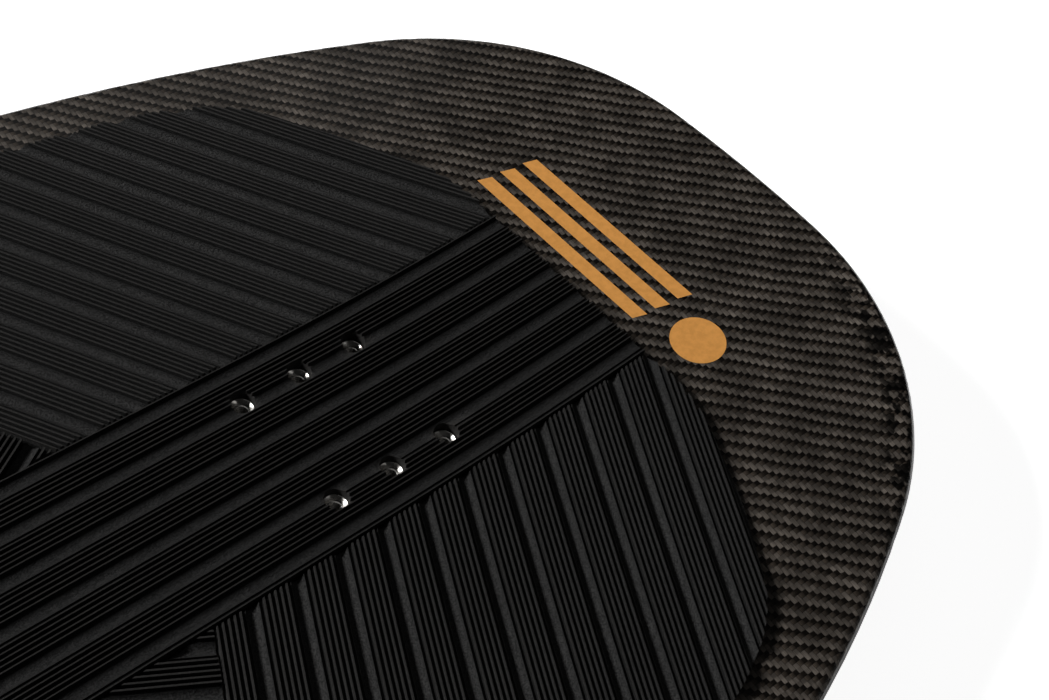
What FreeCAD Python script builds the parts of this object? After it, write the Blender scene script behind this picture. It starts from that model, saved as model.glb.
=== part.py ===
import FreeCAD, Part

import math
import os

import Sketcher

# Short carbon foil kiteboard: a foam-cored carbon board with a kicked nose, bevelled rails, grooved
# EVA deck pads, M6 strap inserts and a pair of foil mast tracks with sliding M8 nuts.
# Frame: +X to the nose, +Y to port, +Z up. The origin is on the flat bottom, under mid-length.
# Every heading is the direction of the outward normal: 0 degrees at the nose, 90 at the port rail.

DIMENSIONS = (
    # Board outline, from the nose tip round to the tail
    ("board_length", 1245.0, "nose tip to tail"),
    ("half_width", 222.25, "centreline to the widest point"),
    ("tip_radius", 680.0, "outline arc at the nose tip"),
    ("tip_heading", 3.2, "heading where the tip arc ends"),
    ("nose_radius", 132.0, "outline arc at the nose corner"),
    ("nose_heading", 64.6, "heading where the nose corner ends"),
    ("shoulder_radius", 516.0, "outline arc behind the nose corner"),
    ("shoulder_heading", 82.0, "heading where the shoulder ends"),
    ("quarter_heading", 99.0, "heading where the long tail arc ends"),
    ("hip_radius", 500.0, "outline arc ahead of the tail corner"),
    ("hip_heading", 115.0, "heading where the hip ends"),
    ("corner_radius", 85.0, "outline arc at the tail corner"),
    ("corner_heading", 175.0, "heading where the tail corner ends"),
    # Board side profile
    ("board_depth", 38.0, "bottom to deck at mid-length"),
    ("kick_start", 390.0, "x where the deck starts to rise"),
    ("kick_radius", 1159.0, "deck arc of the nose kick"),
    ("rocker_start", 250.0, "x where the bottom starts to rise"),
    ("rocker_radius", 2060.0, "bottom arc of the nose rocker"),
    ("tail_start", -420.0, "x where the tail bottom starts to rise"),
    ("tail_radius", 3400.0, "bottom arc of the tail rocker"),
    ("bevel_size", 20.0, "45 degree bevel under the rail"),
    ("deck_round", 4.0, "round of the deck edge"),
    ("chine_round", 9.0, "round of both edges of the bevel"),
    ("skin_depth", 1.2, "carbon skin"),
    ("bond_drop", 6.0, "deck surface to the bond line on the rail"),
    # Strap inserts, in two groups of two rows of three
    ("front_group", 406.5, "x of the front insert group"),
    ("rear_group", -83.5, "x of the rear insert group"),
    ("hole_pitch", 25.4, "insert pitch along the board"),
    ("row_spacing", 50.8, "distance between the two rows"),
    ("bush_radius", 5.0, "stainless bush, outside"),
    ("bush_bore", 2.5, "M6 thread core"),
    ("bush_depth", 18.0, "bush length"),
    ("bore_depth", 15.0, "threaded length"),
    ("plug_radius", 9.0, "nylon plug"),
    ("plug_depth", 21.0, "plug, from the deck down"),
    ("block_length", 76.0, "hard foam block round an insert group"),
    ("block_width", 84.0, "hard foam block round an insert group"),
    ("block_floor", 12.0, "height of the block's underside"),
    # Foil tracks
    ("track_centre", -275.0, "x of the middle of both tracks"),
    ("track_spacing", 90.0, "distance between the two tracks"),
    ("track_length", 280.0, "moulded box, outside"),
    ("track_width", 32.0, "moulded box, outside"),
    ("track_depth", 24.0, "moulded box, outside"),
    ("slot_length", 254.0, "open slot"),
    ("neck_width", 9.8, "mouth of the slot"),
    ("neck_depth", 7.0, "ledge that holds the nuts"),
    ("channel_length", 262.0, "channel above the ledge"),
    ("channel_width", 17.0, "channel above the ledge"),
    ("channel_depth", 10.0, "channel above the ledge"),
    ("window_length", 30.0, "wide mouth where the nuts go in"),
    ("window_width", 16.6, "wide mouth where the nuts go in"),
    ("mast_length", 304.0, "hard foam block round the tracks"),
    ("mast_width", 150.0, "hard foam block round the tracks"),
    ("mast_top", 30.0, "height of the block's top"),
    ("nut_length", 25.0, "track nut"),
    ("nut_width", 16.0, "track nut"),
    ("nut_depth", 6.0, "track nut, in the channel"),
    ("nut_gap", 0.5, "nut above the ledge"),
    ("boss_width", 9.0, "nut's boss, in the slot's mouth"),
    ("boss_depth", 3.0, "nut's boss, in the slot's mouth"),
    ("nut_bore", 3.4, "M8 thread core"),
    ("nut_spacing", 165.0, "front nuts to rear nuts"),
    # Stringers
    ("stringer_offset", 52.0, "centreline to a stringer"),
    ("stringer_width", 6.0, "stringer"),
    ("stringer_front", 470.0, "x of the stringers' front end"),
    # Pressure vent
    ("vent_place", 232.0, "x of the vent"),
    ("vent_flange", 12.0, "vent flange radius"),
    ("vent_flange_depth", 2.0, "vent flange, let into the deck"),
    ("vent_barrel", 9.0, "vent barrel radius"),
    ("vent_depth", 16.0, "vent body, deck to underside"),
    ("vent_seat", 7.4, "counterbore for the screw head"),
    ("vent_seat_depth", 4.4, "counterbore for the screw head"),
    ("vent_bore", 4.1, "threaded bore"),
    ("screw_head", 7.0, "vent screw head radius"),
    ("screw_head_depth", 2.4, "vent screw head"),
    ("screw_shank", 4.0, "vent screw shank radius"),
    ("screw_length", 11.0, "vent screw shank"),
    ("coin_slot", 1.6, "width of the slot in the screw head"),
    ("coin_depth", 1.2, "depth of the slot in the screw head"),
    ("seal_radius", 5.2, "seal ring, to the middle of its cord"),
    ("seal_cord", 0.95, "seal ring cord radius"),
    # EVA deck pads
    ("pad_depth", 4.5, "pad"),
    ("pad_nose_end", 518.0, "x of the pads' front end"),
    ("pad_tail_end", -540.0, "x of the pads' rear end"),
    ("strip_half", 41.6, "centreline to the edge of the centre strip"),
    ("pad_gap", 1.0, "gap between pads"),
    ("pad_straight", 50.0, "half-width of the pads' straight end"),
    ("pad_tip_radius", 80.0, "pads' outer edge, next to the straight end"),
    ("pad_tip_heading", 18.0, "heading where that arc ends"),
    ("pad_nose_radius", 190.0, "pads' outer edge, second arc"),
    ("pad_nose_heading", 40.0, "heading where that arc ends"),
    ("pad_corner_radius", 64.0, "pads' outer edge, third arc"),
    ("pad_corner_heading", 66.0, "heading where that arc ends"),
    ("pad_shoulder_radius", 141.0, "pads' outer edge, fourth arc"),
    ("pad_shoulder_heading", 81.0, "heading where that arc ends"),
    ("pad_side_radius", 1500.0, "pads' outer edge, up to the straight side"),
    ("pad_side_heading", 90.0, "heading where that arc ends"),
    ("front_seam", 316.5, "x where the front seam meets the strip"),
    ("rear_seam", -338.5, "x where the rear seam meets the strip"),
    ("seam_angle", 60.0, "seams' angle to the centreline"),
    ("hole_radius", 5.2, "holes in the strip over the inserts"),
    ("vent_window", 15.0, "hole in the strip over the vent"),
)

PAD_ARCS = ("pad_tip", "pad_nose", "pad_corner", "pad_shoulder", "pad_side")

ROOMY = 900.0               # longer than half the board, for shapes that others trim
TALL = 100.0                # taller than the board
SURPLUS = 20.0              # how far a cutting shape stands out past what it cuts
OVERRUN = 3.0               # how far the side profile runs past the nose and the tail
ON_FACE = 0.02              # an edge this near to a face's height is on the face's rim
ON_CENTRELINE = 0.1         # a straight edge this near to the centreline runs across the board
BEVEL_TILT = (0.5, 0.85)    # upright share of the normal of a 45 degree face
LEAST_CUT = 1e-3            # a cut that takes away less than this volume has missed

doc = FreeCAD.newDocument("kiteboard")
sheet = doc.addObject("Spreadsheet::Sheet", "dims")
for row, (alias, value, meaning) in enumerate(DIMENSIONS, start=1):
    sheet.set(f"A{row}", meaning)
    sheet.set(f"B{row}", str(value))
    sheet.setAlias(f"B{row}", alias)
doc.recompute()


def dim(alias):
    """A driving dimension, read from the sheet."""
    return float(sheet.get(alias))


def vector(x, y, z=0.0):
    return FreeCAD.Vector(x, y, z)


def bind(obj, **expressions):
    """Bind properties to the sheet; a double underscore stands for a dot."""
    for name, expression in expressions.items():
        obj.setExpression(name.replace("__", "."), expression)
    return obj


def part_object(kind, name, **expressions):
    return bind(doc.addObject(kind, name), **expressions)


def new_body(name):
    return doc.addObject("PartDesign::Body", name)


def plane_of(body, role):
    return next(item for item in body.Origin.OriginFeatures if item.Role == role)


def new_sketch(body, name, role, height=None):
    """An empty sketch on one of the body's own planes, lifted by the expression in height."""
    sketch = body.newObject("Sketcher::SketchObject", name)
    sketch.AttachmentSupport = [(plane_of(body, role), "")]
    sketch.MapMode = "FlatFace"
    if height:
        sketch.setExpression("AttachmentOffset.Base.z", height)
    return sketch


def close_loop(sketch, edges):
    """Join the ends of consecutive edges, the last to the first. Returns the edges' indices."""
    first = sketch.GeometryCount
    for edge in edges:
        sketch.addGeometry(edge, False)
    count = len(edges)
    for step in range(count):
        here = first + step
        following = first + (step + 1) % count
        sketch.addConstraint(Sketcher.Constraint("Coincident", here, 2, following, 1))
    return list(range(first, first + count))


def bound_constraint(sketch, label, expression, *constraint):
    """Add a dimension to the sketch, name it and bind it to the sheet."""
    index = sketch.addConstraint(Sketcher.Constraint(*constraint))
    sketch.renameConstraint(index, label)
    sketch.setExpression(f"Constraints.{label}", expression)


def rectangle(sketch, label, length, width):
    """A rectangle about the sketch's origin. length and width are (value, expression)."""
    east = length[0] / 2
    north = width[0] / 2
    corners = [vector(-east, -north), vector(east, -north), vector(east, north), vector(-east, north)]
    edges = [Part.LineSegment(corners[i], corners[(i + 1) % 4]) for i in range(4)]
    sides = close_loop(sketch, edges)
    for side, direction in zip(sides, ("Horizontal", "Vertical", "Horizontal", "Vertical")):
        sketch.addConstraint(Sketcher.Constraint(direction, side))
    bound_constraint(sketch, f"{label}_length", length[1], "DistanceX", sides[0], 1, sides[0], 2, length[0])
    bound_constraint(sketch, f"{label}_width", width[1], "DistanceY", sides[1], 1, sides[1], 2, width[0])
    sketch.addConstraint(Sketcher.Constraint("Symmetric", sides[0], 1, sides[1], 2, -1, 1))


def circle(sketch, label, expression, radius):
    """A circle of bound radius about the sketch's origin."""
    index = sketch.addGeometry(Part.Circle(vector(0, 0), vector(0, 0, 1), radius), False)
    sketch.addConstraint(Sketcher.Constraint("Coincident", index, 3, -1, 1))
    bound_constraint(sketch, label, expression, "Radius", index, radius)


def pad(body, sketch, name, length, side="One side"):
    feature = body.newObject("PartDesign::Pad", name)
    feature.Profile = sketch
    feature.SideType = side
    bind(feature, Length=length)
    doc.recompute()
    return feature


def pocket(body, sketch, name, length, side="One side", upwards=False):
    """Cut a sketch out of the body, and make sure that it did cut."""
    before = body.Shape.Volume
    feature = body.newObject("PartDesign::Pocket", name)
    feature.Profile = sketch
    feature.SideType = side
    feature.Reversed = upwards
    bind(feature, Length=length)
    doc.recompute()
    if body.Shape.Volume >= before - LEAST_CUT:
        raise RuntimeError(f"{name} cuts nothing")
    return feature


def dress(body, kind, name, edges, **expressions):
    """Add a Chamfer or a Fillet to the named edges of the body's tip."""
    base = body.Tip
    feature = body.newObject(kind, name)
    feature.Base = (base, edges)
    bind(feature, **expressions)
    doc.recompute()
    return feature


def boolean(kind, name, base, tool):
    result = doc.addObject(kind, name)
    result.Base = base
    result.Tool = tool
    doc.recompute()
    return result


def common(name, *shapes):
    result = doc.addObject("Part::MultiCommon", name)
    result.Shapes = list(shapes)
    doc.recompute()
    return result


def fuse(name, *shapes):
    result = doc.addObject("Part::MultiFuse", name)
    result.Shapes = list(shapes)
    doc.recompute()
    return result


# ---------------------------------------------------------------- board outline and side profile

def arc_chain(start, turns):
    """Tangent arcs that follow each other. turns holds (radius, heading where the arc ends), and
    start is the first arc's centre. Returns (centre, radius, heading in, heading out) for each."""
    chain = []
    centre = start
    heading = 0.0
    for index, (radius, heading_out) in enumerate(turns):
        if index:
            gap = turns[index - 1][0] - radius
            along = math.radians(heading)
            centre = centre + vector(gap * math.cos(along), gap * math.sin(along))
        chain.append((centre, radius, heading, heading_out))
        heading = heading_out
    return chain


def board_chain():
    """The port half of the outline, from the nose tip to the tail."""
    half_length = dim("board_length") / 2
    start = vector(half_length - dim("tip_radius"), 0)
    turns = [
        (dim("tip_radius"), dim("tip_heading")),
        (dim("nose_radius"), dim("nose_heading")),
        (dim("shoulder_radius"), dim("shoulder_heading")),
    ]
    # The rail arc has the radius that brings the outline parallel at its full width.
    centre, radius, _, heading = arc_chain(start, turns)[-1]
    rise = math.sin(math.radians(heading))
    rail_radius = (dim("half_width") - centre.y - radius * rise) / (1 - rise)
    turns.append((rail_radius, 90.0))

    def with_tail(quarter_radius):
        """Chain whose last arc is centred on the centreline, and how far short it ends."""
        middle = [
            (quarter_radius, dim("quarter_heading")),
            (dim("hip_radius"), dim("hip_heading")),
            (dim("corner_radius"), dim("corner_heading")),
        ]
        centre, radius, _, heading = arc_chain(start, turns + middle)[-1]
        tail_radius = radius + centre.y / math.sin(math.radians(heading))
        chain = arc_chain(start, turns + middle + [(tail_radius, 180.0)])
        return chain, chain[-1][0].x - tail_radius + half_length

    # The miss is linear in the long arc's radius, so two trials give the radius with no miss.
    trial = 2000.0
    _, first_miss = with_tail(trial)
    _, second_miss = with_tail(2 * trial)
    quarter_radius = trial - first_miss * trial / (second_miss - first_miss)
    return with_tail(quarter_radius)[0]


def arc_edge(centre, radius, heading_in, heading_out):
    ring = Part.Circle(centre, vector(0, 0, 1), radius)
    return Part.ArcOfCircle(ring, math.radians(heading_in), math.radians(heading_out))


def draw_outline(sketch, inset):
    """The closed outline, set in by inset. The tip and tail arcs cross the centreline."""
    names = ("tip", "nose", "shoulder", "rail", "quarter", "hip", "corner", "tail")
    chain = board_chain()
    port = chain[1:-1]
    edges = [arc_edge(chain[0][0], chain[0][1] - inset, -chain[0][3], chain[0][3])]
    for centre, radius, heading_in, heading_out in port:
        edges.append(arc_edge(centre, radius - inset, heading_in, heading_out))
    tail_centre, tail_radius, tail_in, _ = chain[-1]
    edges.append(arc_edge(tail_centre, tail_radius - inset, tail_in, 360 - tail_in))
    for centre, radius, heading_in, heading_out in reversed(port):
        mirrored = vector(centre.x, -centre.y)
        edges.append(arc_edge(mirrored, radius - inset, 360 - heading_out, 360 - heading_in))
    loop = close_loop(sketch, edges)
    bound = {"tip": loop[0], "nose": loop[1], "shoulder": loop[2], "hip": loop[5], "corner": loop[6]}
    for label, index in bound.items():
        radius = chain[names.index(label)][1] - inset
        expression = f"dims.{label}_radius - {inset}"
        bound_constraint(sketch, f"{label}_arc", expression, "Radius", index, radius)


def level_arc(start_x, datum, radius, from_x, to_x):
    """Arc of a side profile that leaves the level line z = datum at start_x and rises from it."""
    centre = vector(start_x, datum + radius)
    ends = [math.asin((x - start_x) / radius) - math.pi / 2 for x in (from_x, to_x)]
    return Part.ArcOfCircle(Part.Circle(centre, vector(0, 0, 1), radius), ends[0], ends[1])


def level_or_risen(datum, radius, run):
    return datum + radius - math.sqrt(radius ** 2 - max(0.0, run) ** 2)


def deck_height(x, inset=0.0):
    """Height of the deck face at x, on the board or on a form that is set in by inset."""
    return level_or_risen(dim("board_depth") - inset, dim("kick_radius") + inset, x - dim("kick_start"))


def bottom_height(x, inset=0.0):
    """Height of the bottom face at x, on the board or on a form that is set in by inset."""
    nose = level_or_risen(inset, dim("rocker_radius") - inset, x - dim("rocker_start"))
    tail = level_or_risen(inset, dim("tail_radius") - inset, dim("tail_start") - x)
    return max(nose, tail)


def bind_radii(sketch, arcs):
    """Bind arcs' radii. arcs holds (label, index, expression, value)."""
    for label, index, expression, value in arcs:
        bound_constraint(sketch, label, expression, "Radius", index, value)


def side_ends():
    end_x = dim("board_length") / 2 + OVERRUN
    return -end_x, end_x


def deck_edges(lift):
    """The deck profile, raised by lift: the level run and the nose kick."""
    tail_x, nose_x = side_ends()
    start = dim("kick_start")
    level = dim("board_depth") + lift
    run = Part.LineSegment(vector(tail_x, level), vector(start, level))
    return run, level_arc(start, level, dim("kick_radius") - lift, start, nose_x)


def draw_side(sketch, inset):
    """The closed side profile, set in by inset."""
    tail_x, nose_x = side_ends()
    tail_start = dim("tail_start")
    rocker_start = dim("rocker_start")
    deck_run, kick = deck_edges(-inset)
    rocker = level_arc(rocker_start, inset, dim("rocker_radius") - inset, rocker_start, nose_x)
    bottom_run = Part.LineSegment(vector(tail_start, inset), vector(rocker_start, inset))
    tail = level_arc(tail_start, inset, dim("tail_radius") - inset, tail_x, tail_start)
    nose_end = Part.LineSegment(kick.EndPoint, rocker.EndPoint)
    tail_end = Part.LineSegment(tail.StartPoint, deck_run.StartPoint)
    for edge in (deck_run, kick, nose_end, rocker, bottom_run, tail, tail_end):
        sketch.addGeometry(edge, False)
    start, end = 1, 2
    joints = ((0, end, 1, start), (1, end, 2, start), (2, end, 3, end), (3, start, 4, end),
              (4, start, 5, end), (5, start, 6, start), (6, end, 0, start))
    for joint in joints:
        sketch.addConstraint(Sketcher.Constraint("Coincident", *joint))
    bind_radii(sketch, (
        ("kick", 1, f"dims.kick_radius + {inset}", dim("kick_radius") + inset),
        ("rocker", 3, f"dims.rocker_radius - {inset}", dim("rocker_radius") - inset),
        ("tail", 5, f"dims.tail_radius - {inset}", dim("tail_radius") - inset),
    ))


def draw_layer(sketch, low, high):
    """A band that follows the deck profile, from low to high above it."""
    low_run, low_kick = deck_edges(low)
    high_run, high_kick = deck_edges(high)
    nose_end = Part.LineSegment(low_kick.EndPoint, high_kick.EndPoint)
    tail_end = Part.LineSegment(high_run.StartPoint, low_run.StartPoint)
    for edge in (low_run, low_kick, nose_end, high_kick, high_run, tail_end):
        sketch.addGeometry(edge, False)
    start, end = 1, 2
    joints = ((0, end, 1, start), (1, end, 2, start), (2, end, 3, end), (3, start, 4, end),
              (4, start, 5, start), (5, end, 0, start))
    for joint in joints:
        sketch.addConstraint(Sketcher.Constraint("Coincident", *joint))
    bind_radii(sketch, (
        ("low_kick", 1, f"dims.kick_radius - {low}", dim("kick_radius") - low),
        ("high_kick", 3, f"dims.kick_radius - {high}", dim("kick_radius") - high),
    ))


def layer_form(name, low, high):
    """A slab that follows the deck, wider than the board."""
    body = new_body(name)
    sketch = new_sketch(body, f"{name}_side", "XZ_Plane")
    draw_layer(sketch, low, high)
    pad(body, sketch, f"{name}_slab", f"2 * (dims.half_width + {SURPLUS})", side="Symmetric")
    return body


def rim_edges(shape, height):
    """Names of the edges round the rim of a board face, whose height is a function of x."""
    names = []
    for index, edge in enumerate(shape.Edges, start=1):
        middle = edge.valueAt((edge.FirstParameter + edge.LastParameter) / 2)
        across = edge.Curve.TypeId == "Part::GeomLine" and abs(middle.y) < ON_CENTRELINE
        if abs(middle.z - height(middle.x)) < ON_FACE and not across:
            names.append(f"Edge{index}")
    return names


def bevel_edges(shape, inset):
    """Names of the edges that join the rail bevel to the rail and to the bottom."""
    names = []
    for index, edge in enumerate(shape.Edges, start=1):
        if len(shape.ancestorsOfType(edge, Part.Face)) != 2:
            continue
        tilts = []
        for face in shape.ancestorsOfType(edge, Part.Face):
            middle = edge.valueAt((edge.FirstParameter + edge.LastParameter) / 2)
            surface_point = face.Surface.parameter(middle)
            tilts.append(abs(face.normalAt(*surface_point).z))
        bevelled = [BEVEL_TILT[0] < tilt < BEVEL_TILT[1] for tilt in tilts]
        if sum(bevelled) == 1 and middle.z < deck_height(middle.x, inset) - dim("deck_round"):
            names.append(f"Edge{index}")
    return names


def hull_form(name, inset):
    """The whole board as one solid, set in by inset on every side."""
    body = new_body(name)
    side = new_sketch(body, f"{name}_side", "XZ_Plane")
    draw_side(side, inset)
    pad(body, side, f"{name}_slab", f"2 * (dims.half_width + {SURPLUS})", side="Symmetric")
    plan = new_sketch(body, f"{name}_plan", "XY_Plane")
    draw_outline(plan, inset)
    roomy = (2 * ROOMY, str(2 * ROOMY))
    rectangle(plan, "surround", roomy, roomy)
    pocket(body, plan, f"{name}_outline", str(ROOMY), side="Symmetric")
    # A 45 degree bevel stays parallel to itself when its size loses this share of the inset.
    share = 2 - math.sqrt(2)
    rim = rim_edges(body.Shape, lambda x: bottom_height(x, inset))
    dress(body, "PartDesign::Chamfer", f"{name}_bevel", rim, Size=f"dims.bevel_size - {share * inset}")
    chines = bevel_edges(body.Shape, inset)
    dress(body, "PartDesign::Fillet", f"{name}_chines", chines, Radius=f"dims.chine_round - {inset}")
    rim = rim_edges(body.Shape, lambda x: deck_height(x, inset))
    dress(body, "PartDesign::Fillet", f"{name}_deck_edge", rim, Radius=f"dims.deck_round - {inset}")
    return body


# ------------------------------------------------------------------------------- simple shapes

def box(name, length, width, height, x, y, z):
    """A box centred on x and y, whose underside is at z. Every argument is an expression."""
    return part_object(
        "Part::Box", name, Length=length, Width=width, Height=height,
        Placement__Base__x=f"({x}) - ({length}) / 2",
        Placement__Base__y=f"({y}) - ({width}) / 2",
        Placement__Base__z=z,
    )


def cylinder(name, radius, height, x, y, z):
    return part_object(
        "Part::Cylinder", name, Radius=radius, Height=height,
        Placement__Base__x=x, Placement__Base__y=y, Placement__Base__z=z,
    )


def insert_grid(name, group, radius, height, z):
    """Six upright cylinders, one at each insert of a group."""
    pins = []
    for row, side in (("port", 1), ("starboard", -1)):
        for step in (1, 0, -1):
            x = f"dims.{group}_group + {step} * dims.hole_pitch"
            y = f"{side} * dims.row_spacing / 2"
            pins.append(cylinder(f"{name}_{row}_{step + 2}", radius, height, x, y, z))
    return fuse(name, *pins)


# ------------------------------------------------------------------------------- carbon shells

outer = hull_form("outer_form", 0.0)
inner = hull_form("inner_form", dim("skin_depth"))
skin = boolean("Part::Cut", "whole_skin", outer, inner)
above_bond = layer_form("above_bond", -dim("bond_drop"), TALL)
deck_blank = common("deck_blank", skin, above_bond)
hull_blank = boolean("Part::Cut", "hull_blank", skin, above_bond)

# ------------------------------------------------------------------------------- insert groups

nodes = {}
core_cutters = []
deck_cutters = []
strip_cutters = []
for group in ("front", "rear"):
    bush_base = "dims.board_depth - dims.bush_depth"
    bushes = insert_grid(f"{group}_bush_rods", group, "dims.bush_radius", "dims.bush_depth", bush_base)
    bores = insert_grid(f"{group}_bores", group, "dims.bush_bore", f"dims.bore_depth + {SURPLUS}",
                        "dims.board_depth - dims.bore_depth")
    nodes[f"{group}_insert_bushes"] = boolean("Part::Cut", f"{group}_insert_bushes", bushes, bores)

    # Wide rods, longer than the bushes, make the clear holes through the deck skin.
    clear = insert_grid(f"{group}_clear_holes", group, "dims.bush_radius", f"dims.bush_depth + {SURPLUS}", bush_base)
    rods = insert_grid(f"{group}_plug_rods", group, "dims.plug_radius", f"dims.plug_depth + {SURPLUS}",
                       "dims.board_depth - dims.plug_depth")
    plug_blanks = common(f"{group}_plug_blanks", rods, inner)
    nodes[f"{group}_insert_plugs"] = boolean("Part::Cut", f"{group}_insert_plugs", plug_blanks, clear)

    brick = box(f"{group}_brick", "dims.block_length", "dims.block_width",
                f"dims.board_depth - dims.block_floor + {SURPLUS}", f"dims.{group}_group", "0", "dims.block_floor")
    block_blank = common(f"{group}_block_blank", brick, inner)
    nodes[f"{group}_insert_block"] = boolean("Part::Cut", f"{group}_insert_block", block_blank, rods)
    core_cutters.append(brick)
    deck_cutters.append(clear)
    strip_cutters.append(insert_grid(f"{group}_pad_holes", group, "dims.hole_radius", str(2 * SURPLUS),
                                     f"dims.board_depth - {SURPLUS}"))

# ------------------------------------------------------------------------------- foil tracks

def slot_outline(sketch, label, length, width):
    """A slot with round ends about the sketch's origin. length and width are expressions' names."""
    radius = dim(width) / 2
    reach = dim(length) / 2 - radius
    top = Part.LineSegment(vector(reach, radius), vector(-reach, radius))
    left = Part.ArcOfCircle(Part.Circle(vector(-reach, 0), vector(0, 0, 1), radius), math.pi / 2, -math.pi / 2)
    low = Part.LineSegment(vector(-reach, -radius), vector(reach, -radius))
    right = Part.ArcOfCircle(Part.Circle(vector(reach, 0), vector(0, 0, 1), radius), -math.pi / 2, math.pi / 2)
    first, second, third, fourth = close_loop(sketch, [top, left, low, right])
    sketch.addConstraint(Sketcher.Constraint("Horizontal", first))
    sketch.addConstraint(Sketcher.Constraint("PointOnObject", second, 3, -1))
    sketch.addConstraint(Sketcher.Constraint("Symmetric", second, 3, fourth, 3, -1, 1))
    bound_constraint(sketch, f"{label}_round", f"dims.{width} / 2", "Radius", fourth, radius)
    bound_constraint(sketch, f"{label}_reach", f"(dims.{length} - dims.{width}) / 2",
                     "DistanceX", -1, 1, fourth, 3, reach)


def sized(alias):
    """A value and its expression, for rectangle()."""
    return dim(alias), f"dims.{alias}"


def track_box(name, y):
    """A moulded box with a T-shaped channel, open below, and a wide mouth for the nuts."""
    body = new_body(name)
    outside = new_sketch(body, f"{name}_outside", "XY_Plane")
    slot_outline(outside, "outside", "track_length", "track_width")
    pad(body, outside, f"{name}_block", "dims.track_depth")
    neck = new_sketch(body, f"{name}_neck", "XY_Plane")
    slot_outline(neck, "neck", "slot_length", "neck_width")
    pocket(body, neck, f"{name}_mouth", "dims.neck_depth", upwards=True)
    channel = new_sketch(body, f"{name}_channel", "XY_Plane", height="dims.neck_depth")
    slot_outline(channel, "channel", "channel_length", "channel_width")
    pocket(body, channel, f"{name}_ledge", "dims.channel_depth", upwards=True)
    window = new_sketch(body, f"{name}_window", "XY_Plane")
    rectangle(window, "window", sized("window_length"), sized("window_width"))
    pocket(body, window, f"{name}_entry", "dims.neck_depth", upwards=True)
    bind(body, Placement__Base__x="dims.track_centre", Placement__Base__y=y)
    doc.recompute()
    return body


def track_nut(name, x, y):
    """A T-shaped M8 nut: a flat body in the channel and a boss in the slot's mouth."""
    body = new_body(name)
    plate = new_sketch(body, f"{name}_plate", "XY_Plane")
    rectangle(plate, "plate", sized("nut_length"), sized("nut_width"))
    pad(body, plate, f"{name}_body", "dims.nut_depth")
    boss = new_sketch(body, f"{name}_boss", "XY_Plane", height="-dims.boss_depth")
    rectangle(boss, "boss", sized("nut_length"), sized("boss_width"))
    pad(body, boss, f"{name}_neck", "dims.boss_depth")
    thread = new_sketch(body, f"{name}_thread", "XY_Plane")
    circle(thread, "thread", "dims.nut_bore", dim("nut_bore"))
    pocket(body, thread, f"{name}_bore", "4 * dims.nut_depth", side="Symmetric")
    bind(body, Placement__Base__x=x, Placement__Base__y=y,
         Placement__Base__z="dims.neck_depth + dims.nut_gap")
    doc.recompute()
    return body


SIDES = (("port", 1), ("starboard", -1))
track_forms = []
for side, sign in SIDES:
    y = f"{sign} * dims.track_spacing / 2"
    nodes[f"track_box_{side}"] = track_box(f"track_box_{side}", y)
    form = new_body(f"track_form_{side}")
    outside = new_sketch(form, f"track_form_{side}_outside", "XY_Plane")
    slot_outline(outside, "outside", "track_length", "track_width")
    pad(form, outside, f"track_form_{side}_block", "dims.track_depth")
    bind(form, Placement__Base__x="dims.track_centre", Placement__Base__y=y)
    track_forms.append(form)
    for end, way in (("front", 1), ("rear", -1)):
        x = f"dims.track_centre + {way} * dims.nut_spacing / 2"
        nodes[f"track_nut_{end}_{side}"] = track_nut(f"track_nut_{end}_{side}", x, y)
doc.recompute()

tracks = fuse("both_tracks", *track_forms)
mast_brick = box("mast_brick", "dims.mast_length", "dims.mast_width", "dims.mast_top",
                 "dims.track_centre", "0", "0")
mast_blank = common("mast_blank", mast_brick, inner)
nodes["mast_block"] = boolean("Part::Cut", "mast_block", mast_blank, tracks)
core_cutters.append(mast_brick)

# ------------------------------------------------------------------------------- stringers

mast_front = "dims.track_centre + dims.mast_length / 2"
for side, sign in SIDES:
    length = f"dims.stringer_front - ({mast_front})"
    plank = box(f"stringer_plank_{side}", length, "dims.stringer_width", str(TALL),
                f"({mast_front}) + ({length}) / 2", f"{sign} * dims.stringer_offset", "0")
    nodes[f"stringer_{side}"] = common(f"stringer_{side}", plank, inner)
    core_cutters.append(plank)

# ------------------------------------------------------------------------------- pressure vent

def revolved(name, points):
    """A body turned about the Z axis from a profile given as (radius, height) corners."""
    body = new_body(name)
    sketch = new_sketch(body, f"{name}_profile", "XZ_Plane")
    corners = [vector(radius, height) for radius, height in points]
    count = len(corners)
    close_loop(sketch, [Part.LineSegment(corners[i], corners[(i + 1) % count]) for i in range(count)])
    turn = body.newObject("PartDesign::Revolution", f"{name}_turn")
    turn.Profile = sketch
    turn.ReferenceAxis = (sketch, ["V_Axis"])
    turn.Angle = 360
    doc.recompute()
    bind(body, Placement__Base__x="dims.vent_place", Placement__Base__z="dims.board_depth")
    doc.recompute()
    return body


seat = -dim("vent_seat_depth")
flange_floor = -dim("vent_flange_depth")
vent_floor = -dim("vent_depth")
nodes["vent_body"] = revolved("vent_body", (
    (dim("vent_bore"), seat), (dim("vent_seat"), seat), (dim("vent_seat"), 0), (dim("vent_flange"), 0),
    (dim("vent_flange"), flange_floor), (dim("vent_barrel"), flange_floor),
    (dim("vent_barrel"), vent_floor), (dim("vent_bore"), vent_floor),
))

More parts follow.
